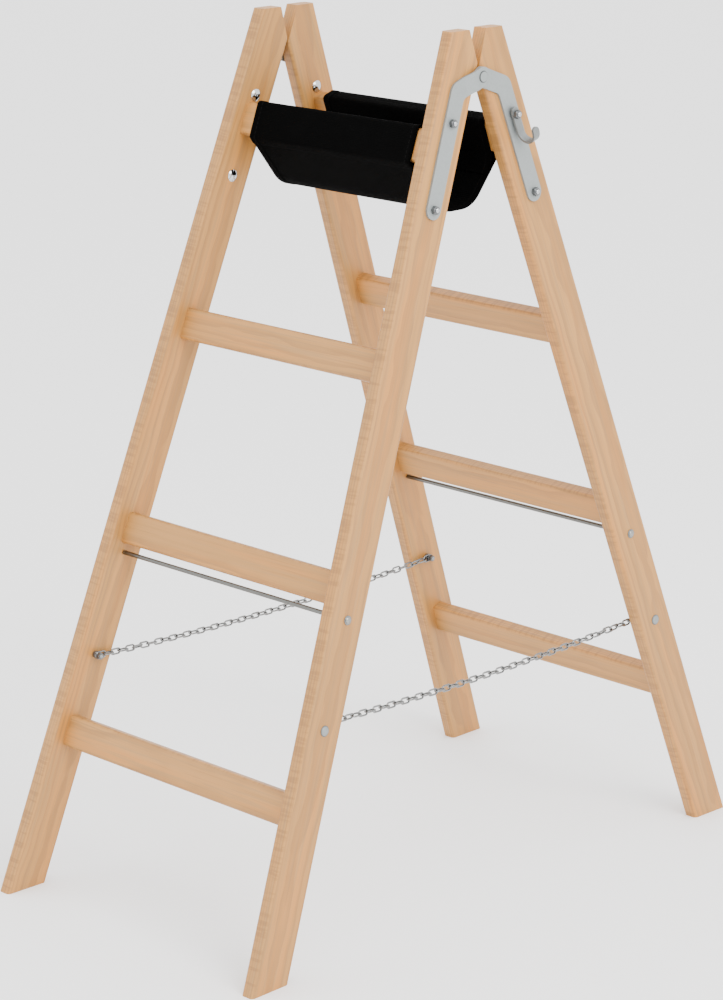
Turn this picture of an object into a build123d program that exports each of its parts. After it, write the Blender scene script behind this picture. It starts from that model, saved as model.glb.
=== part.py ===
"""Double-sided wooden rung stepladder with a textile tool tray, a bucket hook and two safety chains.

Millimetres. The origin is on the floor in the middle of the footprint. X runs along the rungs, from the
far side to the near side, Y from the front section to the back section, and Z is up.

Each section lies in a plane that leans by LEAN. Places on the front section are given as (w, v): w is the
depth from its outer edge towards the inside of the ladder, and v is the distance up along the section.
The back section is the mirror image of the front one, and the far side of the near one.
"""

import os
from math import asin, atan2, cos, exp, radians, sin, tan

from build123d import *

os.makedirs("parts", exist_ok=True)

# Overall shape
FOOTPRINT_DEPTH = 923.0
FOOT_HALF_WIDTH = 244.8
HEIGHT = 1138.5
LEAN = 20.0
TAPER = 3.1
PIVOT_HEIGHT = 1080.0

# Stiles
STILE_WIDTH = 60.0
STILE_THICKNESS = 20.0
STILE_EDGE = 5.0
MITRE_HEIGHT = 1090.5
MITRE_BACK = 14.5
MITRE_GAP = 0.2

# Rungs
RUNG_COUNT = 4
RUNG_SPACING = 280.0
RUNG_FIRST = 209.3
RUNG_DEPTH = 20.2
RUNG_RISE = 42.5
RUNG_EDGE = 4.3
TENON_DEPTH = 12.0
TENON_RISE = 30.0
TENON_LENGTH = 14.0
MORTISE_SPARE = 0.5

# Tie rods under the second rungs
ROD_RADIUS = 3.0
ROD_BELOW_RUNG = 12.0
ROD_WASHER_RADIUS = 6.0
ROD_WASHER = 1.2
ROD_NUB_RADIUS = 4.3
ROD_NUB = 2.2

# Hinge plates
PLATE = 3.0
PLATE_HALF_WIDTH = 12.5
PLATE_INNER_BEND = 9.0
PLATE_OUTER_BEND = 18.0
PLATE_LOW_BOLT = 994.5
PLATE_HIGH_BOLT = 1104.0
ARM_CUT = 30.0
EYE_CUT = 13.5
BACK_EYE_FACE = 182.7
FRONT_EYE_FACE = 185.85
RIVET_RADIUS = 4.0
RIVET_PLAY = 0.08
RIVET_HEAD_RADIUS = 6.9
RIVET_HEAD = 1.5
RIVET_SINK_RADIUS = 6.0
RIVET_SINK = 1.8

# Plate bolts and nuts
BOLT_RADIUS = 3.0
BOLT_HOLE_RADIUS = 3.2
BOLT_HEAD_RADIUS = 8.1
BOLT_HEAD = 3.5
NUT_FLATS = 10.0
NUT = 5.0
BOLT_STICKS_OUT = 2.4
NUT_PLAY = 0.05

# Bucket hook
HOOK_SPACER = 3.5
HOOK_STRIP = 3.0
HOOK_HALF_WIDTH = 5.5
HOOK_ABOVE_BOLT = 10.0
HOOK_DROP = 23.0
HOOK_RADIUS = 15.0
HOOK_TIP = 7.0

# Chains and their bolts
CHAIN_BOLT = 338.0
CHAIN_BOLT_RADIUS = 2.5
CHAIN_HEAD_RADIUS = 7.0
CHAIN_HEAD = 2.8
CHAIN_NUT_FLATS = 8.0
CHAIN_NUT = 4.0
CHAIN_WASHER_RADIUS = 5.0
CHAIN_WASHER = 1.0
CHAIN_GAP = 3.1
CHAIN_BOLT_STICKS_OUT = 1.6
CHAIN_SAG = 9.5
WIRE = 2.4
LINK_WIDTH = 9.6
LINK_PLAY = 0.12
END_LINK_WIDTH = 11.0
END_LINK_LENGTH = 14.2
LINKS_IN_HALF = 25
END_LINKS = 8
LINK_TILT = -5.0
TILT_RUN = 4
KINK = 50.0
KINK_LINK = 5.5
KINK_SPREAD = 1.5

# Tool tray
TRAY_HALF_LENGTH = 145.0
CLOTH = 1.8
SLEEVE_GAP = 0.4
SLEEVE_TOP_GAP = 1.9
TRAY_FLOOR = 906.0
TRAY_FLOOR_CORNER = 29.0
TRAY_FLOOR_RADIUS = 42.0

# Frames of the front section and of its near stile
LEAN_SIN = sin(radians(LEAN))
LEAN_COS = cos(radians(LEAN))
TAPER_SIN = sin(radians(TAPER))
TAPER_COS = cos(radians(TAPER))
TAPER_TAN = tan(radians(TAPER))
INWARD = (0, LEAN_COS, -LEAN_SIN)
OUTWARD = (TAPER_COS, TAPER_SIN * LEAN_SIN, TAPER_SIN * LEAN_COS)
ALONG_STILE = (-TAPER_SIN, TAPER_COS * LEAN_SIN, TAPER_COS * LEAN_COS)
FOOT = (FOOT_HALF_WIDTH, -FOOTPRINT_DEPTH / 2, 0)
OUTER_FACE = Plane(origin=FOOT, x_dir=INWARD, z_dir=OUTWARD)
INNER_FACE = OUTER_FACE.offset(-STILE_THICKNESS)
STILE_SECTION = Plane(origin=FOOT, x_dir=INWARD, z_dir=ALONG_STILE)
RUNG_SECTION = Plane(origin=(0, -FOOTPRINT_DEPTH / 2, 0), x_dir=INWARD, z_dir=(1, 0, 0))
MIDDLE = STILE_WIDTH / 2


def across(w, v):
    """Y and Z of the place (w, v) of the front section."""
    y = -FOOTPRINT_DEPTH / 2 + v * LEAN_SIN + w * LEAN_COS
    return y, v * LEAN_COS - w * LEAN_SIN


def section_place(y, z):
    """The place (w, v) of the front section that has this Y and Z."""
    y += FOOTPRINT_DEPTH / 2
    return y * LEAN_COS - z * LEAN_SIN, y * LEAN_SIN + z * LEAN_COS


def on_face(w, v):
    """The place (w, v) in the coordinates of a stile's face planes."""
    return w, v / TAPER_COS


def inner_x(v):
    """X of the near stile's inner face, v up the section."""
    return FOOT_HALF_WIDTH - STILE_THICKNESS / TAPER_COS - v * TAPER_TAN


def keep(name, part):
    """Labels a finished piece and writes it."""
    part.label = name
    export_step(part, f"parts/{name}.step")


def near_and_far(part):
    """A piece on the near side together with its mirror image on the far side."""
    with BuildPart() as pair:
        add(part)
        mirror(about=Plane.YZ)
    return pair.part


def mirrored(part, about):
    """The mirror image of a piece."""
    with BuildPart() as image:
        add(mirror(part, about=about))
    return image.part


def together(parts):
    """Several separate solids as one group."""
    with BuildPart() as group:
        add(parts)
    return group.part


def seat(face, w, v, height=0.0):
    """A plane on a stile's face, centred on the place (w, v) and raised by height."""
    x, y = on_face(w, v)
    raised = face.offset(height)
    return Plane(origin=raised.from_local_coords((x, y, 0)), x_dir=face.x_dir, z_dir=face.z_dir)


def flipped(plane):
    """The same plane looking the other way."""
    return Plane(origin=plane.origin, x_dir=plane.x_dir, z_dir=-plane.z_dir)


def profile_plane(base):
    """The plane through the axis of base, with X as the radius and Y along the axis."""
    return Plane(origin=base.origin, x_dir=base.x_dir, z_dir=-base.y_dir)


def turned(base, corners):
    """A solid turned about the axis of base from a straight-sided profile of (radius, height) corners."""
    with BuildPart() as solid:
        with BuildSketch(profile_plane(base)):
            with BuildLine():
                Polyline(*corners, close=True)
            make_face()
        revolve(axis=Axis(base.origin, base.z_dir))
    return solid.part


def washer(base, radius, thickness, bore):
    """A plain washer that lies on base."""
    edge = thickness * 0.2
    corners = [
        (bore, 0),
        (radius, 0),
        (radius, thickness - edge),
        (radius - edge, thickness),
        (bore, thickness),
    ]
    return turned(base, corners)


def hex_nut(base, flats, height, bore):
    """A hexagon nut that stands on base, with its corners turned off at both ends."""
    corner = flats / 2 / cos(radians(30))
    bevel = corner - flats / 2
    blank = turned(
        base,
        [
            (0, 0),
            (corner - bevel, 0),
            (corner, bevel * 0.55),
            (corner, height - bevel * 0.55),
            (corner - bevel, height),
            (0, height),
        ],
    )
    with BuildPart() as nut:
        with BuildSketch(base):
            RegularPolygon(radius=corner, side_count=6)
            Circle(bore, mode=Mode.SUBTRACT)
        extrude(amount=height)
        add(blank, mode=Mode.INTERSECT)
    return nut.part


def domed_bolt(base, head_radius, head_height, radius, length):
    """A carriage bolt: its domed head is behind base, and its shank runs from base along its normal."""
    rim = 0.6
    rise = head_height - rim
    ball = (head_radius**2 + rise**2) / (2 * rise)
    half_turn = asin(head_radius / ball) / 2
    crown = (ball * sin(half_turn), -head_height + ball - ball * cos(half_turn))
    bevel = radius * 0.3
    with BuildPart() as bolt:
        with BuildSketch(profile_plane(base)):
            with BuildLine():
                ThreePointArc((0, -head_height), crown, (head_radius, -rim))
                Polyline(
                    (head_radius, -rim),
                    (head_radius, 0),
                    (radius, 0),
                    (radius, length - bevel),
                    (radius - bevel, length),
                    (0, length),
                    (0, -head_height),
                )
            make_face()
        revolve(axis=Axis(base.origin, base.z_dir))
    return bolt.part


# ---------------------------------------------------------------------------- stiles

PIVOT = (0.0, PIVOT_HEIGHT)
ROD_PLACE = (MIDDLE, RUNG_FIRST + RUNG_SPACING - ROD_BELOW_RUNG)
MITRE_PLANE = Plane(
    origin=(0, -MITRE_GAP, MITRE_HEIGHT),
    x_dir=(1, 0, 0),
    z_dir=(0, HEIGHT - MITRE_HEIGHT, MITRE_BACK),
)


def rung_centre(number):
    """The distance up the section of the middle of a rung, counted from 0 at the bottom."""
    return RUNG_FIRST + RUNG_RISE / 2 + number * RUNG_SPACING


with BuildPart() as near_stile:
    with BuildSketch(STILE_SECTION):
        with Locations((MIDDLE, STILE_THICKNESS / 2)):
            RectangleRounded(STILE_WIDTH, STILE_THICKNESS, STILE_EDGE)
    extrude(amount=HEIGHT * 1.2)
    with BuildSketch(STILE_SECTION):
        with Locations((MIDDLE, STILE_THICKNESS / 2)):
            RectangleRounded(STILE_WIDTH, STILE_THICKNESS, STILE_EDGE)
    extrude(amount=-STILE_WIDTH)
    split(bisect_by=Plane.XY, keep=Keep.TOP)
    split(bisect_by=Plane.XY.offset(HEIGHT), keep=Keep.BOTTOM)
    split(bisect_by=MITRE_PLANE, keep=Keep.BOTTOM)
    for rung in range(RUNG_COUNT):
        with BuildSketch(RUNG_SECTION):
            with Locations((MIDDLE, rung_centre(rung))):
                RectangleRounded(TENON_DEPTH, TENON_RISE, TENON_DEPTH / 4)
        mortise_end = inner_x(rung_centre(rung)) + TENON_LENGTH + MORTISE_SPARE
        extrude(amount=mortise_end, mode=Mode.SUBTRACT)
    with BuildSketch(OUTER_FACE):
        with Locations(on_face(MIDDLE, PLATE_LOW_BOLT), on_face(MIDDLE, PLATE_HIGH_BOLT)):
            Circle(BOLT_HOLE_RADIUS)
        with Locations(on_face(MIDDLE, CHAIN_BOLT)):
            Circle(CHAIN_BOLT_RADIUS + NUT_PLAY)
    extrude(amount=-STILE_THICKNESS * 1.5, mode=Mode.SUBTRACT)
    with BuildSketch(RUNG_SECTION):
        with Locations(ROD_PLACE):
            Circle(ROD_RADIUS + NUT_PLAY)
    extrude(amount=FOOT_HALF_WIDTH * 1.2, mode=Mode.SUBTRACT)

far_stile = mirrored(near_stile.part, Plane.YZ)
keep("front_stile_near", near_stile.part)
keep("front_stile_far", far_stile)
keep("back_stile_near", mirrored(near_stile.part, Plane.XZ))
keep("back_stile_far", mirrored(far_stile, Plane.XZ))

# ---------------------------------------------------------------------------- rungs

FAR_INNER_FACE = Plane(
    origin=(-INNER_FACE.origin.X, INNER_FACE.origin.Y, INNER_FACE.origin.Z),
    x_dir=INWARD,
    z_dir=(-OUTWARD[0], OUTWARD[1], OUTWARD[2]),
)

for rung in range(RUNG_COUNT):
    centre = rung_centre(rung)
    with BuildPart() as rung_bar:
        with BuildSketch(RUNG_SECTION):
            with Locations((MIDDLE, centre)):
                RectangleRounded(RUNG_DEPTH, RUNG_RISE, RUNG_EDGE)
        extrude(amount=FOOT_HALF_WIDTH, both=True)
        split(bisect_by=INNER_FACE, keep=Keep.BOTTOM)
        split(bisect_by=FAR_INNER_FACE, keep=Keep.BOTTOM)
        with BuildSketch(RUNG_SECTION):
            with Locations((MIDDLE, centre)):
                RectangleRounded(TENON_DEPTH, TENON_RISE, TENON_DEPTH / 4)
        extrude(amount=inner_x(centre) + TENON_LENGTH, both=True)
    keep(f"front_rung_{rung + 1}", rung_bar.part)
    keep(f"back_rung_{rung + 1}", mirrored(rung_bar.part, Plane.XZ))

# ---------------------------------------------------------------------------- tie rods

ROD_SEAT = seat(OUTER_FACE, *ROD_PLACE)
ROD_END = ROD_SEAT.origin.X

with BuildPart() as tie_rod:
    with BuildSketch(RUNG_SECTION):
        with Locations(ROD_PLACE):
            Circle(ROD_RADIUS)
    extrude(amount=ROD_END + ROD_WASHER, both=True)
    add(
        near_and_far(
            domed_bolt(
                flipped(seat(OUTER_FACE, *ROD_PLACE, height=ROD_WASHER)),
                ROD_NUB_RADIUS,
                ROD_NUB,
                ROD_RADIUS * 0.8,
                ROD_WASHER,
            )
        )
    )

rod_washers = near_and_far(
    washer(ROD_SEAT, ROD_WASHER_RADIUS, ROD_WASHER, ROD_RADIUS + 0.3)
)
keep("front_tie_rod", tie_rod.part)
keep("back_tie_rod", mirrored(tie_rod.part, Plane.XZ))
keep("front_rod_washers", rod_washers)
keep("back_rod_washers", mirrored(rod_washers, Plane.XZ))

# ---------------------------------------------------------------------------- hinge plates

PIVOT_W, PIVOT_V = section_place(*PIVOT)
ARM_RUN = (PIVOT_W - MIDDLE) / cos(radians(2 * LEAN))
BEND_V = PIVOT_V - ARM_RUN * sin(radians(2 * LEAN))


def on_arm(run):
    """Y and Z of the point of the front arm's centre line that is this far from the pivot."""
    return -run * LEAN_COS, PIVOT_HEIGHT - run * LEAN_SIN


def hinge_plate(eye_face):
    """A cranked strip on the near front stile, with an arm that steps out to eye_face at the rivet."""
    low = on_face(MIDDLE, PLATE_LOW_BOLT)
    high = on_face(MIDDLE, PLATE_HIGH_BOLT)
    bend = on_face(MIDDLE, BEND_V)
    cut = on_face(*section_place(*on_arm(ARM_CUT)))
    arm = OUTER_FACE.from_local_coords((*cut, 0)) - OUTER_FACE.from_local_coords((*bend, 0))
    arm_end = Plane(
        origin=OUTER_FACE.from_local_coords((*cut, PLATE / 2)),
        x_dir=OUTER_FACE.z_dir,
        z_dir=arm,
    )
    eye_start = Plane(
        origin=(eye_face + PLATE / 2, *on_arm(EYE_CUT)),
        x_dir=(1, 0, 0),
        z_dir=(0, LEAN_COS, LEAN_SIN),
    )
    inner_corner = Vector(bend[0] + PLATE_HALF_WIDTH, bend[1] - PLATE_HALF_WIDTH)
    outer_corner = Vector(bend[0] - PLATE_HALF_WIDTH, bend[1] + PLATE_HALF_WIDTH)
    with BuildPart() as plate:
        with BuildSketch(OUTER_FACE) as strap:
            with BuildLine():
                Polyline(low, bend, cut)
            trace(line_width=2 * PLATE_HALF_WIDTH)
            with Locations(low):
                Circle(PLATE_HALF_WIDTH)
            fillet(strap.vertices().sort_by_distance(inner_corner)[0], PLATE_INNER_BEND)
            fillet(strap.vertices().sort_by_distance(outer_corner)[0], PLATE_OUTER_BEND)
        extrude(amount=PLATE)
        with BuildSketch(OUTER_FACE):
            with Locations(low, high):
                Circle(BOLT_HOLE_RADIUS)
        extrude(amount=PLATE, mode=Mode.SUBTRACT)
        with BuildSketch(arm_end):
            Rectangle(PLATE, 2 * PLATE_HALF_WIDTH)
        with BuildSketch(eye_start):
            Rectangle(PLATE, 2 * PLATE_HALF_WIDTH)
        loft(ruled=True)
        with BuildSketch(Plane.YZ.offset(eye_face)):
            with BuildLine():
                Line(on_arm(EYE_CUT), PIVOT)
            trace(line_width=2 * PLATE_HALF_WIDTH)
            with Locations(PIVOT):
                Circle(PLATE_HALF_WIDTH)
        extrude(amount=PLATE)
    return plate.part


def rivet_axis(x):
    """A plane across the near hinge's axis at this X, looking along +X."""
    return Plane(origin=(x, *PIVOT), x_dir=(0, 1, 0), z_dir=(1, 0, 0))


def rivet_outline(radius, sink_radius, length):
    """Profile of the rivet's shank, with the countersunk tail on the inside."""
    return [(0, 0), (sink_radius, 0), (radius, RIVET_SINK), (radius, length), (0, length)]


SHANK = FRONT_EYE_FACE + PLATE - BACK_EYE_FACE
rivet_shank = turned(rivet_axis(BACK_EYE_FACE), rivet_outline(RIVET_RADIUS, RIVET_SINK_RADIUS, SHANK))
rivet_room = turned(
    rivet_axis(BACK_EYE_FACE),
    rivet_outline(RIVET_RADIUS + RIVET_PLAY, RIVET_SINK_RADIUS + 2 * RIVET_PLAY, SHANK),
)
rivet_head = turned(
    rivet_axis(FRONT_EYE_FACE + PLATE),
    [
        (0, 0),
        (RIVET_HEAD_RADIUS, 0),
        (RIVET_HEAD_RADIUS, RIVET_HEAD * 0.6),
        (RIVET_HEAD_RADIUS - 0.8, RIVET_HEAD),
        (0, RIVET_HEAD),
    ],
)

with BuildPart() as rivet:
    add(rivet_shank)
    add(rivet_head)

with BuildPart() as front_plate:
    add(hinge_plate(FRONT_EYE_FACE))
    add(rivet_shank, mode=Mode.SUBTRACT)

with BuildPart() as back_plate:
    add(hinge_plate(BACK_EYE_FACE))
    add(mirrored(rivet_room, Plane.XZ), mode=Mode.SUBTRACT)

keep("hinge_rivets", near_and_far(rivet.part))
keep("front_hinge_plate_near", front_plate.part)
keep("front_hinge_plate_far", mirrored(front_plate.part, Plane.YZ))
back_plate_near = mirrored(back_plate.part, Plane.XZ)
keep("back_hinge_plate_near", back_plate_near)
keep("back_hinge_plate_far", mirrored(back_plate_near, Plane.YZ))

# ---------------------------------------------------------------------------- plate bolts and nuts

NUT_BORE = BOLT_RADIUS + NUT_PLAY
THROUGH_PLATE = STILE_THICKNESS + PLATE
BOLT_LENGTH = THROUGH_PLATE + NUT + BOLT_STICKS_OUT
HOOK_BOLT_LENGTH = BOLT_LENGTH + HOOK_SPACER + HOOK_STRIP


def plate_bolt(v, length=BOLT_LENGTH):
    """A bolt through the near stile and its hinge plate, with its head on the inside."""
    return domed_bolt(seat(INNER_FACE, MIDDLE, v), BOLT_HEAD_RADIUS, BOLT_HEAD, BOLT_RADIUS, length)


def plate_nut(v, height=NUT):
    """A nut on the near hinge plate."""
    return hex_nut(seat(OUTER_FACE, MIDDLE, v, PLATE), NUT_FLATS, height, NUT_BORE)


low_bolt = plate_bolt(PLATE_LOW_BOLT)
high_bolt = plate_bolt(PLATE_HIGH_BOLT)
hook_bolt = plate_bolt(PLATE_HIGH_BOLT, HOOK_BOLT_LENGTH)
low_nut = plate_nut(PLATE_LOW_BOLT)
high_nut = plate_nut(PLATE_HIGH_BOLT)
spacer_nut = plate_nut(PLATE_HIGH_BOLT, HOOK_SPACER)

front_bolts = near_and_far(together([low_bolt, high_bolt]))
front_nuts = near_and_far(together([low_nut, high_nut]))
back_bolts = together([low_bolt, hook_bolt, *mirrored(together([low_bolt, high_bolt]), Plane.YZ).solids()])
back_nuts = together([low_nut, spacer_nut, *mirrored(together([low_nut, high_nut]), Plane.YZ).solids()])
keep("front_plate_bolts", front_bolts)
keep("front_plate_nuts", front_nuts)
keep("back_plate_bolts", mirrored(back_bolts, Plane.XZ))
keep("back_plate_nuts", mirrored(back_nuts, Plane.XZ))

# ---------------------------------------------------------------------------- bucket hook

HOOK_BACK = PLATE + HOOK_SPACER
hook_origin = seat(OUTER_FACE, MIDDLE, PLATE_HIGH_BOLT)
HOOK_SIDE = Plane(origin=hook_origin.origin, x_dir=hook_origin.z_dir, z_dir=-hook_origin.x_dir)
HOOK_MIDDLE = HOOK_BACK + HOOK_RADIUS
HOOK_END = HOOK_MIDDLE + HOOK_RADIUS

with BuildPart() as hook:
    with BuildSketch(HOOK_SIDE):
        with BuildLine():
            Line((HOOK_BACK, HOOK_ABOVE_BOLT), (HOOK_BACK, -HOOK_DROP))
            CenterArc((HOOK_MIDDLE, -HOOK_DROP), HOOK_RADIUS, 180, 180)
            Polyline(
                (HOOK_END, -HOOK_DROP),
                (HOOK_END, HOOK_TIP - HOOK_DROP),
                (HOOK_END - HOOK_STRIP, HOOK_TIP - HOOK_DROP),
                (HOOK_END - HOOK_STRIP, -HOOK_DROP),
            )
            CenterArc((HOOK_MIDDLE, -HOOK_DROP), HOOK_RADIUS - HOOK_STRIP, 0, -180)
            Polyline(
                (HOOK_BACK + HOOK_STRIP, -HOOK_DROP),
                (HOOK_BACK + HOOK_STRIP, HOOK_ABOVE_BOLT),
                (HOOK_BACK, HOOK_ABOVE_BOLT),
            )
        make_face()
    extrude(amount=HOOK_HALF_WIDTH, both=True)
    end_corners = hook.edges().filter_by(Axis(HOOK_SIDE.origin, HOOK_SIDE.x_dir))
    fillet(end_corners, HOOK_HALF_WIDTH - 0.1)
    with BuildSketch(hook_origin):
        Circle(BOLT_HOLE_RADIUS)
    extrude(amount=HOOK_MIDDLE, mode=Mode.SUBTRACT)

hook_nut = hex_nut(
    seat(OUTER_FACE, MIDDLE, PLATE_HIGH_BOLT, HOOK_BACK + HOOK_STRIP), NUT_FLATS, NUT, NUT_BORE
)
keep("bucket_hook", mirrored(hook.part, Plane.XZ))
keep("hook_nut", mirrored(hook_nut, Plane.XZ))

# ---------------------------------------------------------------------------- chain bolts

CHAIN_STACK = 2 * CHAIN_NUT + 2 * CHAIN_WASHER + CHAIN_GAP
CHAIN_BOLT_LENGTH = STILE_THICKNESS + CHAIN_STACK + CHAIN_BOLT_STICKS_OUT
CHAIN_INSET = CHAIN_NUT + CHAIN_WASHER + CHAIN_GAP / 2


def chain_seat(depth):
    """A plane inside the near stile at this depth from its inner face, looking inwards."""
    return flipped(seat(INNER_FACE, MIDDLE, CHAIN_BOLT, -depth))


chain_bolt = domed_bolt(
    flipped(seat(OUTER_FACE, MIDDLE, CHAIN_BOLT)),
    CHAIN_HEAD_RADIUS,
    CHAIN_HEAD,
    CHAIN_BOLT_RADIUS,
    CHAIN_BOLT_LENGTH,
)
CHAIN_BORE = CHAIN_BOLT_RADIUS + NUT_PLAY
nut_depths = (0.0, CHAIN_STACK - CHAIN_NUT)
washer_depths = (CHAIN_NUT, CHAIN_NUT + CHAIN_WASHER + CHAIN_GAP)
chain_nuts = together([hex_nut(chain_seat(d), CHAIN_NUT_FLATS, CHAIN_NUT, CHAIN_BORE) for d in nut_depths])
chain_washers = together(
    [washer(chain_seat(d), CHAIN_WASHER_RADIUS, CHAIN_WASHER, CHAIN_BORE) for d in washer_depths]
)
for kind, near in (("bolts", chain_bolt), ("nuts", chain_nuts), ("washers", chain_washers)):
    both_sides = near_and_far(near)
    keep(f"front_chain_{kind}", both_sides)
    keep(f"back_chain_{kind}", mirrored(both_sides, Plane.XZ))

# ---------------------------------------------------------------------------- chains

CHAIN_START = chain_seat(CHAIN_INSET).origin
HALF_SPAN = -CHAIN_START.Y
HALF_CHAIN = HALF_SPAN * (1 + 2 / 3 * (CHAIN_SAG / HALF_SPAN) ** 2)
END_LINK_CENTRE = END_LINK_LENGTH / 2 - CHAIN_BOLT_RADIUS - LINK_PLAY
FIRST_CONTACT = END_LINK_CENTRE + END_LINK_LENGTH / 2 - LINK_PLAY / 2
LINK_STEP = (HALF_CHAIN - FIRST_CONTACT) / (LINKS_IN_HALF - 1)
LAST_LINK = 2 * LINKS_IN_HALF - 1


def on_chain(run):
    """Y, Z and slope angle of a chain, this far along it from the front bolt."""
    y = CHAIN_START.Y + run * HALF_SPAN / HALF_CHAIN
    drop = CHAIN_SAG * (1 - (y / HALF_SPAN) ** 2)
    slope = 2 * CHAIN_SAG * y / HALF_SPAN**2
    return y, CHAIN_START.Z - drop, atan2(slope, 1)


def chain_link(length, width):
    """A welded link of round wire in the XY plane, its inside length along X."""
    straight = (length + WIRE - (width - WIRE)) / 2
    bend = (width - WIRE) / 2
    with BuildPart() as link:
        with BuildLine() as path:
            Line((-straight, -bend), (straight, -bend))
            CenterArc((straight, 0), bend, -90, 180)
            Line((straight, bend), (-straight, bend))
            CenterArc((-straight, 0), bend, 90, 180)
        with BuildSketch(Plane(origin=(-straight, -bend, 0), x_dir=(0, 1, 0), z_dir=(1, 0, 0))):
            Circle(WIRE / 2)
        sweep(path=path.wire())
    return link.part


END_LINK = chain_link(END_LINK_LENGTH, END_LINK_WIDTH)
PLAIN_LINK = chain_link(LINK_STEP + LINK_PLAY, LINK_WIDTH)


def link_run(number):
    """The distance along the far chain from the front bolt to the middle of a link."""
    if number == 0:
        return END_LINK_CENTRE
    if number == LAST_LINK:
        return 2 * HALF_CHAIN - END_LINK_CENTRE
    return FIRST_CONTACT + (number - 0.5) * LINK_STEP


def link_turn(number):
    """How far a link is turned about the far chain, in degrees. Each is a quarter turn on from the last.

    The plain links lean a little, one place near the front bolt is kinked, and a last quarter turn is
    spread over the links by the back bolt, so that both end links lie square to their bolts.
    """
    lean = LINK_TILT * min(number / TILT_RUN, (LAST_LINK - number) / TILT_RUN, 1)
    kink = KINK * exp(-(((number - KINK_LINK) / KINK_SPREAD) ** 2))
    spread = max(0, number - LAST_LINK + END_LINKS - 1) / (END_LINKS - 1)
    return 90 * (number + spread) + lean + kink


def link_at(number):
    """Link number along the far chain: 0 is the end link on the front bolt."""
    y, z, slope = on_chain(link_run(number))
    turn = radians(link_turn(number))
    along = Vector(0, cos(slope), sin(slope))
    level = Vector(1, 0, 0)
    upright = Vector(0, -sin(slope), cos(slope))
    place = Plane(
        origin=(-CHAIN_START.X, y, z),
        x_dir=along,
        z_dir=level * cos(turn) + upright * sin(turn),
    )
    is_end = number in (0, LAST_LINK)
    return place.location * (END_LINK if is_end else PLAIN_LINK)


def turned_about(part):
    """A piece turned half way round the ladder's middle line."""
    with BuildPart() as image:
        add(part.rotate(Axis.Z, 180))
    return image.part


runs = {
    ("front_end", "back_end"): range(END_LINKS),
    ("front_middle", "back_middle"): range(END_LINKS, LINKS_IN_HALF),
    ("back_middle", "front_middle"): range(LINKS_IN_HALF, LAST_LINK + 1 - END_LINKS),
    ("back_end", "front_end"): range(LAST_LINK + 1 - END_LINKS, LAST_LINK + 1),
}
for (far_name, near_name), numbers in runs.items():
    links = together([link_at(number) for number in numbers])
    keep(f"chain_far_{far_name}", links)
    keep(f"chain_near_{near_name}", turned_about(links))

chain_joint = on_chain(FIRST_CONTACT + (END_LINKS - 1) * LINK_STEP)
print("chain bolt", CHAIN_START, "chain joint", chain_joint, "step", LINK_STEP, "half", HALF_CHAIN)

# ---------------------------------------------------------------------------- tool tray

SLEEVE_FRONT = MIDDLE - RUNG_DEPTH / 2 - SLEEVE_GAP
SLEEVE_BACK = MIDDLE + RUNG_DEPTH / 2 + SLEEVE_GAP
TOP_RUNG = rung_centre(RUNG_COUNT - 1)
SLEEVE_TOP = TOP_RUNG + RUNG_RISE / 2 + SLEEVE_TOP_GAP
SLEEVE_BOTTOM = TOP_RUNG - RUNG_RISE / 2 - SLEEVE_GAP - CLOTH

outer_top = across(SLEEVE_FRONT - CLOTH, SLEEVE_TOP + CLOTH)
outer_low = across(SLEEVE_FRONT - CLOTH, SLEEVE_BOTTOM)
inner_top = across(SLEEVE_BACK + CLOTH, SLEEVE_TOP + CLOTH)
floor_corner = (-TRAY_FLOOR_CORNER, TRAY_FLOOR)
WALL = Vector(*floor_corner) - Vector(*outer_low)
WALL_ANGLE = atan2(-WALL.Y, WALL.X)
WALL_SHIFT = CLOTH * tan(WALL_ANGLE / 2)


def along_wall(w, inset):
    """Y and Z where the wall's line, moved in by inset, meets the depth w of the front section."""
    start = Vector(*outer_low) + Vector(sin(WALL_ANGLE), cos(WALL_ANGLE)) * inset
    start_w = section_place(start.X, start.Y)[0]
    end = start + WALL
    end_w = section_place(end.X, end.Y)[0]
    at = start + WALL * ((w - start_w) / (end_w - start_w))
    return at.X, at.Y


def other_side(places):
    """The same (Y, Z) places on the back half, in the opposite order."""
    return [(-y, z) for y, z in reversed(places)]


half_outline = [inner_top, outer_top, outer_low, floor_corner]
half_trough = [
    inner_top,
    along_wall(SLEEVE_BACK + CLOTH, CLOTH),
    (-TRAY_FLOOR_CORNER + WALL_SHIFT, TRAY_FLOOR + CLOTH),
]
half_tunnel = [
    across(SLEEVE_FRONT, SLEEVE_TOP),
    along_wall(SLEEVE_FRONT, CLOTH),
    along_wall(SLEEVE_BACK, CLOTH),
    across(SLEEVE_BACK, SLEEVE_TOP),
]

with BuildPart() as tray:
    with BuildSketch(Plane.YZ) as outline:
        with BuildLine():
            Polyline(*half_outline, *other_side(half_outline), close=True)
        make_face()
        fillet(outline.vertices().group_by(Axis.Y)[0], TRAY_FLOOR_RADIUS)
    extrude(amount=TRAY_HALF_LENGTH, both=True)
    with BuildSketch(Plane.YZ) as trough:
        with BuildLine():
            Polyline(*half_trough, *other_side(half_trough), close=True)
        make_face()
        fillet(trough.vertices().group_by(Axis.Y)[0], TRAY_FLOOR_RADIUS - CLOTH)
    extrude(amount=TRAY_HALF_LENGTH, both=True, mode=Mode.SUBTRACT)
    for tunnel in (half_tunnel, other_side(half_tunnel)):
        with BuildSketch(Plane.YZ):
            with BuildLine():
                Polyline(*tunnel, close=True)
            make_face()
        extrude(amount=TRAY_HALF_LENGTH, both=True, mode=Mode.SUBTRACT)

keep("tool_tray", tray.part)
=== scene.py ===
"""Look of the double-sided wooden rung stepladder: camera, light, materials, tool tray and small details.

Metres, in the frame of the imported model: X along the rungs, Y from the front section to the back section,
Z up from the floor.
"""

import math

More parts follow.
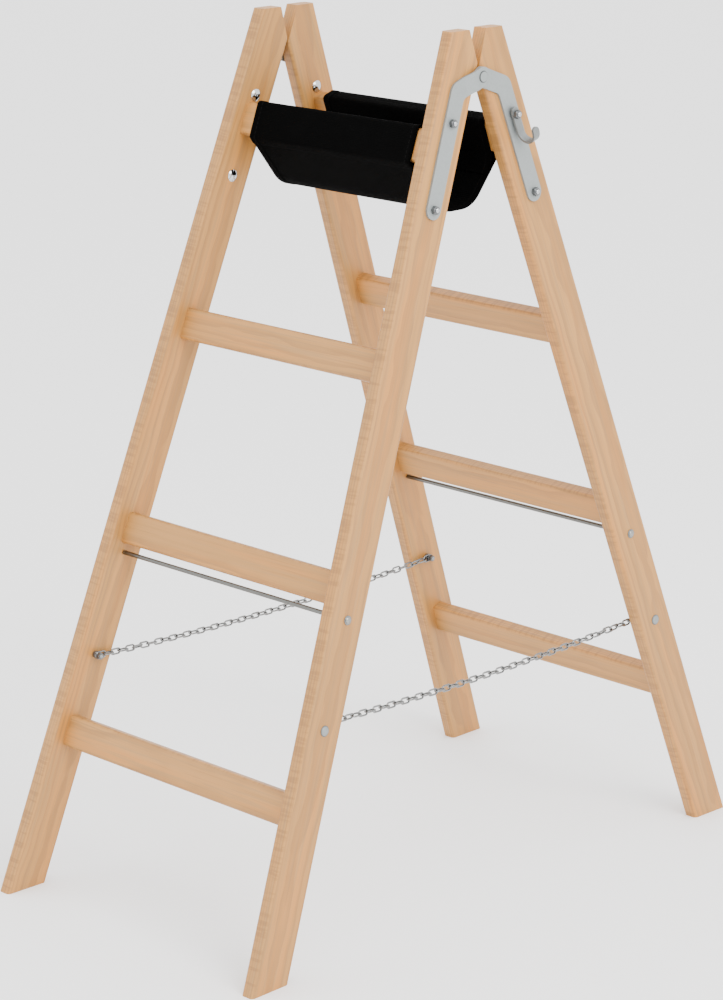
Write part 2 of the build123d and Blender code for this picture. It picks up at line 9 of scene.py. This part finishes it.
import bmesh
import bpy
from mathutils import Matrix, Vector


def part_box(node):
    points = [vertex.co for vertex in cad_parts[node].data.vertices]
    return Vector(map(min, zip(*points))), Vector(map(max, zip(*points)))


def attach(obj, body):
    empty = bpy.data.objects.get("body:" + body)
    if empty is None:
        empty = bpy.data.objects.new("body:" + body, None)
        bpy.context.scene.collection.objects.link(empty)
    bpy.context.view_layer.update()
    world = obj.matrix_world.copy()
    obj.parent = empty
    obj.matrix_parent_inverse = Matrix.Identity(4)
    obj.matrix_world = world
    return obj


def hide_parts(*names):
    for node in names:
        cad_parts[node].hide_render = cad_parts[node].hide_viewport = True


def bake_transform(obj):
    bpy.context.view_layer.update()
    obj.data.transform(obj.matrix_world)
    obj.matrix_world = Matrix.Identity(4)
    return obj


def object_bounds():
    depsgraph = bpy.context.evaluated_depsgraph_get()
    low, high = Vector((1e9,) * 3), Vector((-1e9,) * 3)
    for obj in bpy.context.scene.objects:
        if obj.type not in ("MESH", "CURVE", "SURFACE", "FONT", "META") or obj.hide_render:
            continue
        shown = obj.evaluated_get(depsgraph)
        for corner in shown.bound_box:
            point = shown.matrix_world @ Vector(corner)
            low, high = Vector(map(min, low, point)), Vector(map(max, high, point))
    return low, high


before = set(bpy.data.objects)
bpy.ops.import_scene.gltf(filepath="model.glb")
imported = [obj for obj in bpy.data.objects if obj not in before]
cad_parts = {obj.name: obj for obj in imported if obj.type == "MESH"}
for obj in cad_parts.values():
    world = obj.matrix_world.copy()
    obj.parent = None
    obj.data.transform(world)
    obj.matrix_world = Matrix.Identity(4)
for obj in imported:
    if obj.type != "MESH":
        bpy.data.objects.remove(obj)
cad_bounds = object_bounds()

LEAN = math.radians(20.0)
TAPER = math.radians(3.1)
STILE_WIDTH = 0.060
RUNG_RISE = 0.042
PIVOT_HEIGHT = 1.080
SIN, COS = math.sin(LEAN), math.cos(LEAN)
HALF_WIDTH, HALF_DEPTH = cad_bounds[1][0], cad_bounds[1][1]


def section_axes(section):
    """(up, inward, origin) of the front or back section: up along it, and inward from its outer edge."""
    turn = 1.0 if section == "front" else -1.0
    return Vector((0, turn * SIN, COS)), Vector((0, turn * COS, -SIN)), Vector((0, -turn * HALF_DEPTH, 0))


# ---------------------------------------------------------------------------- camera, floor and light

CAMERA_PLACE = (2.8762, -2.9263, 1.6432)
CAMERA_AZIMUTH = 44.875
CAMERA_DOWN = 15.315
FLOOR_HALF_SIZE = 40.0
FLOOR_COLOUR = (0.94, 0.94, 0.94, 1)
SURROUND_STRENGTH = 2.5
LIT_PLACE = (0, 0, 0.55)


def make_camera():
    """The camera, at the photograph's place and angle."""
    data = bpy.data.cameras.new("camera")
    data.sensor_width = 36.0
    data.lens = 115.03
    data.shift_x = 0.0068
    data.shift_y = -0.0173
    data.clip_end = 60.0
    camera = bpy.data.objects.new("camera", data)
    camera.location = CAMERA_PLACE
    camera.rotation_euler = (math.radians(90 - CAMERA_DOWN), 0, math.radians(CAMERA_AZIMUTH))
    bpy.context.scene.collection.objects.link(camera)
    bpy.context.scene.camera = camera


def add_light(name, place, size, power):
    """A large square area light at place, aimed at the middle of the ladder."""
    data = bpy.data.lights.new(name, "AREA")
    data.shape = "SQUARE"
    data.size = size
    data.energy = power
    light = bpy.data.objects.new(name, data)
    light.location = place
    light.rotation_euler = (Vector(LIT_PLACE) - Vector(place)).to_track_quat("-Z", "Y").to_euler()
    bpy.context.scene.collection.objects.link(light)


def make_stage():
    """A plain pale floor, a white surround and soft light."""
    bm = bmesh.new()
    bmesh.ops.create_grid(bm, x_segments=1, y_segments=1, size=FLOOR_HALF_SIZE)
    mesh = bpy.data.meshes.new("floor")
    bm.to_mesh(mesh)
    bm.free()
    floor = bpy.data.objects.new("floor", mesh)
    bpy.context.scene.collection.objects.link(floor)
    paint = bpy.data.materials.new("floor_paint")
    paint.use_nodes = True
    surface = paint.node_tree.nodes["Principled BSDF"]
    surface.inputs["Base Color"].default_value = FLOOR_COLOUR
    surface.inputs["Roughness"].default_value = 0.9
    mesh.materials.append(paint)

    world = bpy.data.worlds.new("surround")
    bpy.context.scene.world = world
    world.use_nodes = True
    background = world.node_tree.nodes["Background"]
    background.inputs["Color"].default_value = (1, 1, 1, 1)
    background.inputs["Strength"].default_value = SURROUND_STRENGTH

    add_light("key", (3.6, -0.6, 3.4), size=2.5, power=180)
    add_light("fill", (-1.5, -4.2, 2.2), size=3.0, power=20)


# ---------------------------------------------------------------------------- shader helpers


class Shader:
    """A material with its node tree, and short calls that add nodes to it."""

    def __init__(self, name, roughness, metallic=0.0):
        self.material = bpy.data.materials.new(name)
        self.material.use_nodes = True
        self.tree = self.material.node_tree
        self.surface = self.tree.nodes["Principled BSDF"]
        self.surface.inputs["Roughness"].default_value = roughness
        self.surface.inputs["Metallic"].default_value = metallic
        self.place = self.tree.nodes.new("ShaderNodeTexCoord").outputs["Object"]

    def give(self, socket, value):
        """Links value to the socket if it is another node's output, and stores it if it is a constant."""
        if isinstance(value, bpy.types.NodeSocket):
            self.tree.links.new(value, socket)
        else:
            socket.default_value = value

    def node(self, kind, inputs, **settings):
        """A node of this kind. inputs maps the names or numbers of its sockets to values or outputs."""
        made = self.tree.nodes.new(f"ShaderNode{kind}")
        for key, value in settings.items():
            setattr(made, key, value)
        for key, value in inputs.items():
            self.give(made.inputs[key], value)
        return made

    def math(self, operation, a, b=0.0):
        """One Math node."""
        return self.node("Math", {0: a, 1: b}, operation=operation).outputs[0]

    def stretch(self, vector, scale, shift=(0, 0, 0)):
        """The vector, scaled and then shifted."""
        scaled = self.node("VectorMath", {0: vector, 1: scale}, operation="MULTIPLY").outputs[0]
        return self.node("VectorMath", {0: scaled, 1: shift}, operation="ADD").outputs[0]

    def noise(self, vector, scale=1.0, detail=2.0, rough=0.5):
        """The Fac output of a Noise node."""
        inputs = {"Vector": vector, "Scale": scale, "Detail": detail, "Roughness": rough}
        return self.node("TexNoise", inputs).outputs["Fac"]

    def span(self, value, low, high, to_low=0.0, to_high=1.0):
        """value from low to high, smoothly mapped to to_low to to_high."""
        inputs = {0: value, 1: low, 2: high, 3: to_low, 4: to_high}
        return self.node("MapRange", inputs, interpolation_type="SMOOTHSTEP").outputs[0]

    def blend(self, factor, a, b, kind="MIX"):
        """Two colours mixed by factor."""
        made = self.node("Mix", {"Factor": factor}, data_type="RGBA", blend_type=kind)
        self.give(made.inputs[6], a)
        self.give(made.inputs[7], b)
        return made.outputs[2]

    def finish(self, colour, height, depth, roughness=None):
        """Links the colour, a bump of this height and depth, and the roughness if it isn't constant."""
        self.give(self.surface.inputs["Base Color"], colour)
        if roughness is not None:
            self.give(self.surface.inputs["Roughness"], roughness)
        bump = self.node("Bump", {"Height": height, "Distance": depth, "Strength": 1.0})
        self.give(self.surface.inputs["Normal"], bump.outputs[0])
        return self.material


# ---------------------------------------------------------------------------- wood

YEAR_RING = 0.0040
PITH_NEAR, PITH_SPREAD, PITH_BELOW = 0.012, 0.036, 0.075
RIM_WIDTH = 0.0045

PALE = (0.435, 0.204, 0.048, 1)
TAN = (0.375, 0.175, 0.038, 1)
WARM = (0.480, 0.190, 0.028, 1)
GREY = (0.290, 0.165, 0.056, 1)
BROWN = (0.205, 0.088, 0.020, 1)


def wood(name, length_axis, width_axis, origin, width, seed):
    """Planed softwood. The grain runs along length_axis, and width is the board's size along width_axis.

    The year rings are circles round a pith that lies below the board, bent by slow and fine noise.
    """
    s = Shader(name, 0.5)
    third = length_axis.cross(width_axis)
    turn = Matrix((length_axis, width_axis, third))
    inputs = {"Vector": s.place, "Location": -(turn @ origin), "Rotation": turn.to_euler()}
    local = s.node("Mapping", inputs).outputs[0]
    parts = s.node("SeparateXYZ", {0: local}).outputs
    across, through = parts[1], parts[2]
    shift = (seed * 3.17, seed * 1.31, seed * 2.63)

    wander = s.math("SUBTRACT", s.noise(s.stretch(local, (2.2, 9, 9), shift), 1.0, 2.0), 0.5)
    ripple = s.math("SUBTRACT", s.noise(s.stretch(local, (14, 30, 30), shift), 1.0, 2.0), 0.5)
    pith = PITH_NEAR + PITH_SPREAD * ((seed * 0.37) % 1.0)
    side = s.math("ADD", s.math("SUBTRACT", across, pith), s.math("MULTIPLY", wander, 0.040))
    below = s.math("ADD", through, PITH_BELOW)
    reach = s.math("SQRT", s.math("ADD", s.math("POWER", side, 2), s.math("POWER", below, 2)))
    reach = s.math("ADD", reach, s.math("MULTIPLY", ripple, 0.004))
    year = s.math("FRACT", s.math("MULTIPLY", reach, 1 / YEAR_RING))
    late = s.math("MULTIPLY", s.span(year, 0.35, 0.85), s.span(year, 1.0, 0.90))

    fibre = s.noise(s.stretch(local, (9, 620, 620), shift), 1.0, 3.0, 0.6)
    streak = s.noise(s.stretch(local, (1.3, 70, 70), shift), 1.0, 3.0, 0.55)
    lines = s.noise(s.stretch(local, (6, 300, 300), shift), 1.0, 2.0, 0.5)
    cloud = s.noise(s.stretch(local, (3, 45, 45), shift), 1.0, 2.0)
    flame = s.noise(s.stretch(local, (210, 14, 14), shift), 1.0, 3.0, 0.6)
    off_middle = s.math("ABSOLUTE", s.math("SUBTRACT", across, width / 2))
    rim = s.span(off_middle, width / 2 - RIM_WIDTH, width / 2)

    colour = s.blend(s.span(streak, 0.35, 0.65), PALE, TAN)
    colour = s.blend(s.span(cloud, 0.42, 0.70, 0, 0.75), colour, WARM)
    colour = s.blend(s.span(lines, 0.50, 0.66, 0, 0.45), colour, GREY)
    colour = s.blend(s.math("MULTIPLY", late, 0.34), colour, BROWN)
    colour = s.blend(s.span(fibre, 0.50, 0.75, 0, 0.34), colour, BROWN)
    ray = s.math("MULTIPLY", rim, s.span(flame, 0.46, 0.60, 0, 0.46))
    colour = s.blend(ray, colour, BROWN)
    rough = s.math("ADD", s.math("MULTIPLY", fibre, 0.16), 0.42)
    height = s.math("ADD", s.math("MULTIPLY", late, 0.35), s.math("MULTIPLY", fibre, 0.8))
    return s.finish(colour, height, 0.00012, rough)


def dress(node, material):
    """Gives a CAD node this material all over."""
    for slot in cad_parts[node].material_slots:
        slot.material = material


def make_wood():
    """Every stile and rung gets a board of its own."""
    for number, section in enumerate(("front", "back")):
        up, inward, origin = section_axes(section)
        for side, way in (("near", 1), ("far", -1)):
            node = f"{section}_stile_{side}"
            length_axis = up * math.cos(TAPER) - Vector((way * math.sin(TAPER), 0, 0))
            foot = origin + Vector((way * HALF_WIDTH, 0, 0))
            seed = 1 + number * 2 + (way < 0)
            dress(node, wood(node, length_axis, inward, foot, STILE_WIDTH, seed))
        for rung in (1, 2, 3, 4):
            node = f"{section}_rung_{rung}"
            low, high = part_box(node)
            middle = (Vector(low) + Vector(high)) / 2
            start = middle - up * (RUNG_RISE / 2)
            seed = 5 + number * 4 + rung
            dress(node, wood(node, Vector((1, 0, 0)), up, start, RUNG_RISE, seed))


# ---------------------------------------------------------------------------- metal


def metal(name, colour, roughness, metallic=1.0, mottling=0.06, shade=None):
    """Zinc-plated steel: a faint mottling, fine scratches and uneven roughness.

    shade, if there is one, is a function of the shader that gives a factor on the colour.
    """
    s = Shader(name, roughness, metallic)
    grain = s.noise(s.place, 240.0, 3.0, 0.6)
    fine = s.noise(s.stretch(s.place, (900, 2400, 900)), 1.0, 2.0)
    low = tuple(c * (1 - mottling) for c in colour) + (1,)
    high = tuple(min(1.0, c * (1 + mottling)) for c in colour) + (1,)
    mixed = s.blend(s.span(grain, 0.35, 0.65), low, high)
    if shade:
        mixed = s.blend(1.0, mixed, shade(s), "MULTIPLY")
    rough = s.math("ADD", s.math("MULTIPLY", grain, 0.12), roughness - 0.06)
    return s.finish(mixed, s.math("ADD", grain, s.math("MULTIPLY", fine, 0.5)), 0.00002, rough)


def from_axis(s, y, z):
    """Distance of a place from the line along X through this Z and this Y, on either side of the ladder."""
    parts = s.node("SeparateXYZ", {0: s.place}).outputs
    across = s.math("POWER", s.math("SUBTRACT", s.math("ABSOLUTE", parts[1]), y), 2)
    upward = s.math("POWER", s.math("SUBTRACT", parts[2], z), 2)
    return s.math("SQRT", s.math("ADD", across, upward))


def rivet_ring_painted_shade(s):
    """Painted shade: a dark ring round the heads of the hinge rivets, standing in for the contact shadow in
    the corner round them.
    """
    reach = from_axis(s, 0.0, PIVOT_HEIGHT)
    inner = s.span(reach, 0.0058, 0.0068, 1.0, 0.35)
    return s.math("MAXIMUM", inner, s.span(reach, 0.0069, 0.0082, 0.35, 1.0))


def head_rim_painted_shade(node):
    """Painted shade that darkens the rim of round heads, whose middles are those of the node's box."""
    low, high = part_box(node)
    y = abs(low[1] + high[1]) / 2
    z = (low[2] + high[2]) / 2
    radius = (high[2] - low[2]) / 2
    return lambda s: s.span(from_axis(s, y, z), radius * 0.70, radius * 0.98, 1.0, 0.45)


def rod_ends(s):
    """Brighter riveted ends outside the stiles."""
    x = s.math("ABSOLUTE", s.node("SeparateXYZ", {0: s.place}).outputs[0])
    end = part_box("front_tie_rod")[1][0]
    return s.span(x, end - 0.0040, end - 0.0030, 1.0, 2.0)


def make_metal():
    """The materials of plates, fasteners, hook, tie rods and chains."""
    # plate_zinc carries painted shade: a dark ring round the heads of the hinge rivets.
    plate = metal("plate_zinc", (0.270, 0.290, 0.287), 0.60, 0.6, 0.03, rivet_ring_painted_shade)
    bright = metal("bright_zinc", (0.50, 0.51, 0.52), 0.16, 1.0, 0.03)
    dull = metal("nut_zinc", (0.150, 0.155, 0.158), 0.34, 0.9)
    # head_zinc carries painted shade on the rim of the chain bolts' round heads.
    head = metal("head_zinc", (0.250, 0.268, 0.266), 0.45, 0.7, 0.04, head_rim_painted_shade("front_chain_bolts"))
    ring = metal("washer_zinc", (0.190, 0.200, 0.200), 0.42, 0.8, 0.04)
    hook = metal("hook_zinc", (0.200, 0.212, 0.210), 0.45, 0.7, 0.04)
    rod = metal("rod_zinc", (0.140, 0.140, 0.132), 0.32, 1.0, 0.06, rod_ends)
    wire = metal("chain_zinc", (0.210, 0.212, 0.210), 0.26, 1.0)
    for section in ("front", "back"):
        for side in ("near", "far"):
            dress(f"{section}_hinge_plate_{side}", plate)
            for run in ("end", "middle"):
                dress(f"chain_{side}_{section}_{run}", wire)
        dress(f"{section}_plate_bolts", bright)
        dress(f"{section}_plate_nuts", dull)
        dress(f"{section}_chain_bolts", head)
        dress(f"{section}_chain_washers", dull)
        dress(f"{section}_chain_nuts", dull)
        dress(f"{section}_tie_rod", rod)
        dress(f"{section}_rod_washers", ring)
    dress("hinge_rivets", plate)
    dress("bucket_hook", hook)
    dress("hook_nut", dull)


# ---------------------------------------------------------------------------- tool tray

CLOTH = 0.0012
CLOTH_GAP = 0.0001
HEM = 0.011
HEM_RISE = 0.0005
HEM_RAMP = 0.0004
STITCH_INSET = 0.002
STITCH_SCALE = 260.0
WEAVE_SCALE = 160.0
SLEEVE_MIDDLE = (0.030, 1.070)
SLEEVE_RADII = (0.005, 0.005, 0.004, 0.004, 0.002)
SEAM_DEPTH = 0.037
SEAM_FLAP = 0.006
OUTER_LAP = 0.012
TROUGH_FLOOR_HALF = 0.029
TROUGH_RADIUS = 0.041
TROUGH_TUCK = 0.001
TROUGH_MIDDLE = (0, 1.0)
MESH_STEP = 0.003
MESH_COLUMNS = 56
TRAY_HALF_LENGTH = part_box("tool_tray")[1][0]

BLACK = (0.0004, 0.0004, 0.0004, 1)
RAISED_BLACK = (0.0012, 0.0012, 0.0012, 1)
WORN_BLACK = (0.0016, 0.0016, 0.0016, 1)
THREAD_BLACK = (0.006, 0.006, 0.006, 1)


def textile():
    """Coarse black woven textile, with a row of stitches along each hem."""
    s = Shader("black_textile", 0.92)
    s.surface.inputs["Specular IOR Level"].default_value = 0.02
    bands = {"Vector": s.place, "Scale": WEAVE_SCALE, "Distortion": 0.6}
    warp = s.node("TexWave", bands, bands_direction="X")
    weft = s.node("TexWave", bands, bands_direction="Z")
    weave = s.math("MAXIMUM", warp.outputs["Fac"], weft.outputs["Fac"])
    fuzz = s.noise(s.place, 700.0, 3.0)
    wear = s.noise(s.place, 30.0, 3.0)
    colour = s.blend(weave, BLACK, RAISED_BLACK)
    colour = s.blend(s.span(wear, 0.5, 0.8, 0, 0.4), colour, WORN_BLACK)
    parts = s.node("SeparateXYZ", {0: s.place}).outputs
    row = s.math("SUBTRACT", s.math("ABSOLUTE", parts[0]), TRAY_HALF_LENGTH - HEM + STITCH_INSET)
    row = s.span(s.math("ABSOLUTE", row), 0.0003, 0.0006, 1.0, 0.0)
    run = s.math("ADD", parts[2], s.math("ABSOLUTE", parts[1]))
    run = s.math("FRACT", s.math("MULTIPLY", run, STITCH_SCALE))
    thread = s.math("MULTIPLY", row, s.span(run, 0.30, 0.40))
    colour = s.blend(thread, colour, THREAD_BLACK)
    height = s.math("ADD", weave, s.math("MULTIPLY", fuzz, 0.4))
    height = s.math("ADD", height, s.math("MULTIPLY", thread, 1.2))
    return s.finish(colour, height, 0.0004)


def at(section, w, v):
    """(Y, Z) of the place w metres in from the section's outer edge and v metres up along it."""
    up, inward, origin = section_axes(section)
    point = origin + inward * w + up * v
    return point.y, point.z


def arc_points(corner, before, after, radius, steps):
    """Points of an arc of this radius that rounds the corner between two others, all (Y, Z) pairs."""
    c, b, a = Vector(corner), Vector(before), Vector(after)
    to_b, to_a = (b - c).normalized(), (a - c).normalized()
    half = to_b.angle(to_a) / 2
    centre = c + (to_b + to_a).normalized() * (radius / math.sin(half))
    start = c + to_b * (radius / math.tan(half)) - centre
    end = c + to_a * (radius / math.tan(half)) - centre
    total = start.angle_signed(end)
    turns = [Matrix.Rotation(-total * i / steps, 2) for i in range(steps + 1)]
    return [centre + turn @ start for turn in turns]


def rounded(corners, radii, steps=6):
    """An open line of (Y, Z) points with each inner corner rounded to its radius."""
    line = [Vector(corners[0])]
    for i, radius in enumerate(radii, start=1):
        line += arc_points(corners[i], corners[i - 1], corners[i + 1], radius, steps)
    line.append(Vector(corners[-1]))
    return line


def resampled(line, step):
    """The line again, with evenly spaced points about step apart."""
    lengths = [0.0]
    for a, b in zip(line, line[1:]):
        lengths.append(lengths[-1] + (b - a).length)
    count = max(2, round(lengths[-1] / step))
    out, i = [], 0
    for k in range(count + 1):
        goal = lengths[-1] * k / count
        while i < len(line) - 2 and lengths[i + 1] < goal:
            i += 1
        share = (goal - lengths[i]) / max(lengths[i + 1] - lengths[i], 1e-9)
        out.append(line[i].lerp(line[i + 1], share))
    return out


def raise_hems(mesh, middle):
    """Thickens both open ends of a sheet on the side away from middle, a (Y, Z) pair, as folded hems."""
    middle = Vector(middle)
    moves = []
    for vertex in mesh.vertices:
        across = Vector(vertex.normal.yz).normalized()
        away = Vector(vertex.co.yz) - middle
        if abs(vertex.co.x) > TRAY_HALF_LENGTH - HEM and across.dot(away) > 0:
            moves.append((vertex, across * HEM_RISE))
    for vertex, move in moves:
        vertex.co.y += move.x
        vertex.co.z += move.y


def strip(name, line, material, middle):
    """A sheet of the tray's length along X, whose section in the YZ plane is the line.

    middle is a (Y, Z) pair on its inner side. Its two open ends have hems.
    """
    inner = TRAY_HALF_LENGTH - HEM
    places = [inner * (2 * j / MESH_COLUMNS - 1) for j in range(MESH_COLUMNS + 1)]
    edge = [inner + HEM_RAMP, inner + HEM / 2, TRAY_HALF_LENGTH]
    places = [-x for x in reversed(edge)] + places + edge
    bm = bmesh.new()
    rows = []
    for point in line:
        rows.append([bm.verts.new((x, point.x, point.y)) for x in places])
    for low, high in zip(rows, rows[1:]):
        for j in range(len(places) - 1):
            bm.faces.new((low[j], low[j + 1], high[j + 1], high[j]))
    mesh = bpy.data.meshes.new(name)
    bm.to_mesh(mesh)
    bm.free()
    mesh.polygons.foreach_set("use_smooth", [True] * len(mesh.polygons))
    mesh.materials.append(material)
    piece = bpy.data.objects.new(name, mesh)
    bpy.context.scene.collection.objects.link(piece)
    solid = piece.modifiers.new("thickness", "SOLIDIFY")
    solid.thickness = CLOTH
    solid.offset = 0.0
    bpy.context.view_layer.update()
    thickened = piece.evaluated_get(bpy.context.evaluated_depsgraph_get())
    final = bpy.data.meshes.new_from_object(thickened)
    piece.modifiers.clear()
    piece.data = final
    raise_hems(final, middle)
    return piece


def make_tray():
    """The textile sling that hangs from both top rungs.

    A sleeve goes round each rung. Its outer end laps over the outside of the trough's wall and its inner
    end is sewn to the wall's inside.
    """
    cloth = textile()
    half = CLOTH / 2
    floor_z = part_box("tool_tray")[0][2] + half
    sleeve_out, sleeve_in = 0.0195 - half, 0.0405 + half
    sleeve_top, sleeve_low = 1.0955 - half, 1.0462
    corner = Vector(at("front", sleeve_out, sleeve_low))
    bottom = Vector((-TROUGH_FLOOR_HALF, floor_z))
    down = (bottom - corner).normalized()
    inside = Vector((-down.y, down.x)) * (CLOTH + CLOTH_GAP)
    seam = corner + down * SEAM_DEPTH + inside * 2
    half_line = [
        seam + down * SEAM_FLAP,
        seam,
        Vector(at("front", sleeve_in, sleeve_low)),
        Vector(at("front", sleeve_in, sleeve_top)),
        Vector(at("front", sleeve_out, sleeve_top)),
        corner,
        corner + down * OUTER_LAP,
    ]
    sleeve_line = resampled(rounded(half_line, SLEEVE_RADII), MESH_STEP)
    for section, sign in (("front", 1), ("back", -1)):
        line = [Vector((sign * p.x, p.y)) for p in sleeve_line]
        sleeve = strip(f"tray_{section}_sleeve", line, cloth, at(section, *SLEEVE_MIDDLE))
        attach(sleeve, f"{section}_ladder")
    start = corner + down * TROUGH_TUCK + inside
    half_trough = [start, bottom]
    trough_corners = half_trough + [Vector((-p.x, p.y)) for p in reversed(half_trough)]
    line = resampled(rounded(trough_corners, (TROUGH_RADIUS, TROUGH_RADIUS), steps=12), MESH_STEP)
    trough = strip("tray_trough", line, cloth, TROUGH_MIDDLE)
    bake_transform(trough)
    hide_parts("tool_tray")


make_camera()
make_stage()
make_wood()
make_metal()
make_tray()
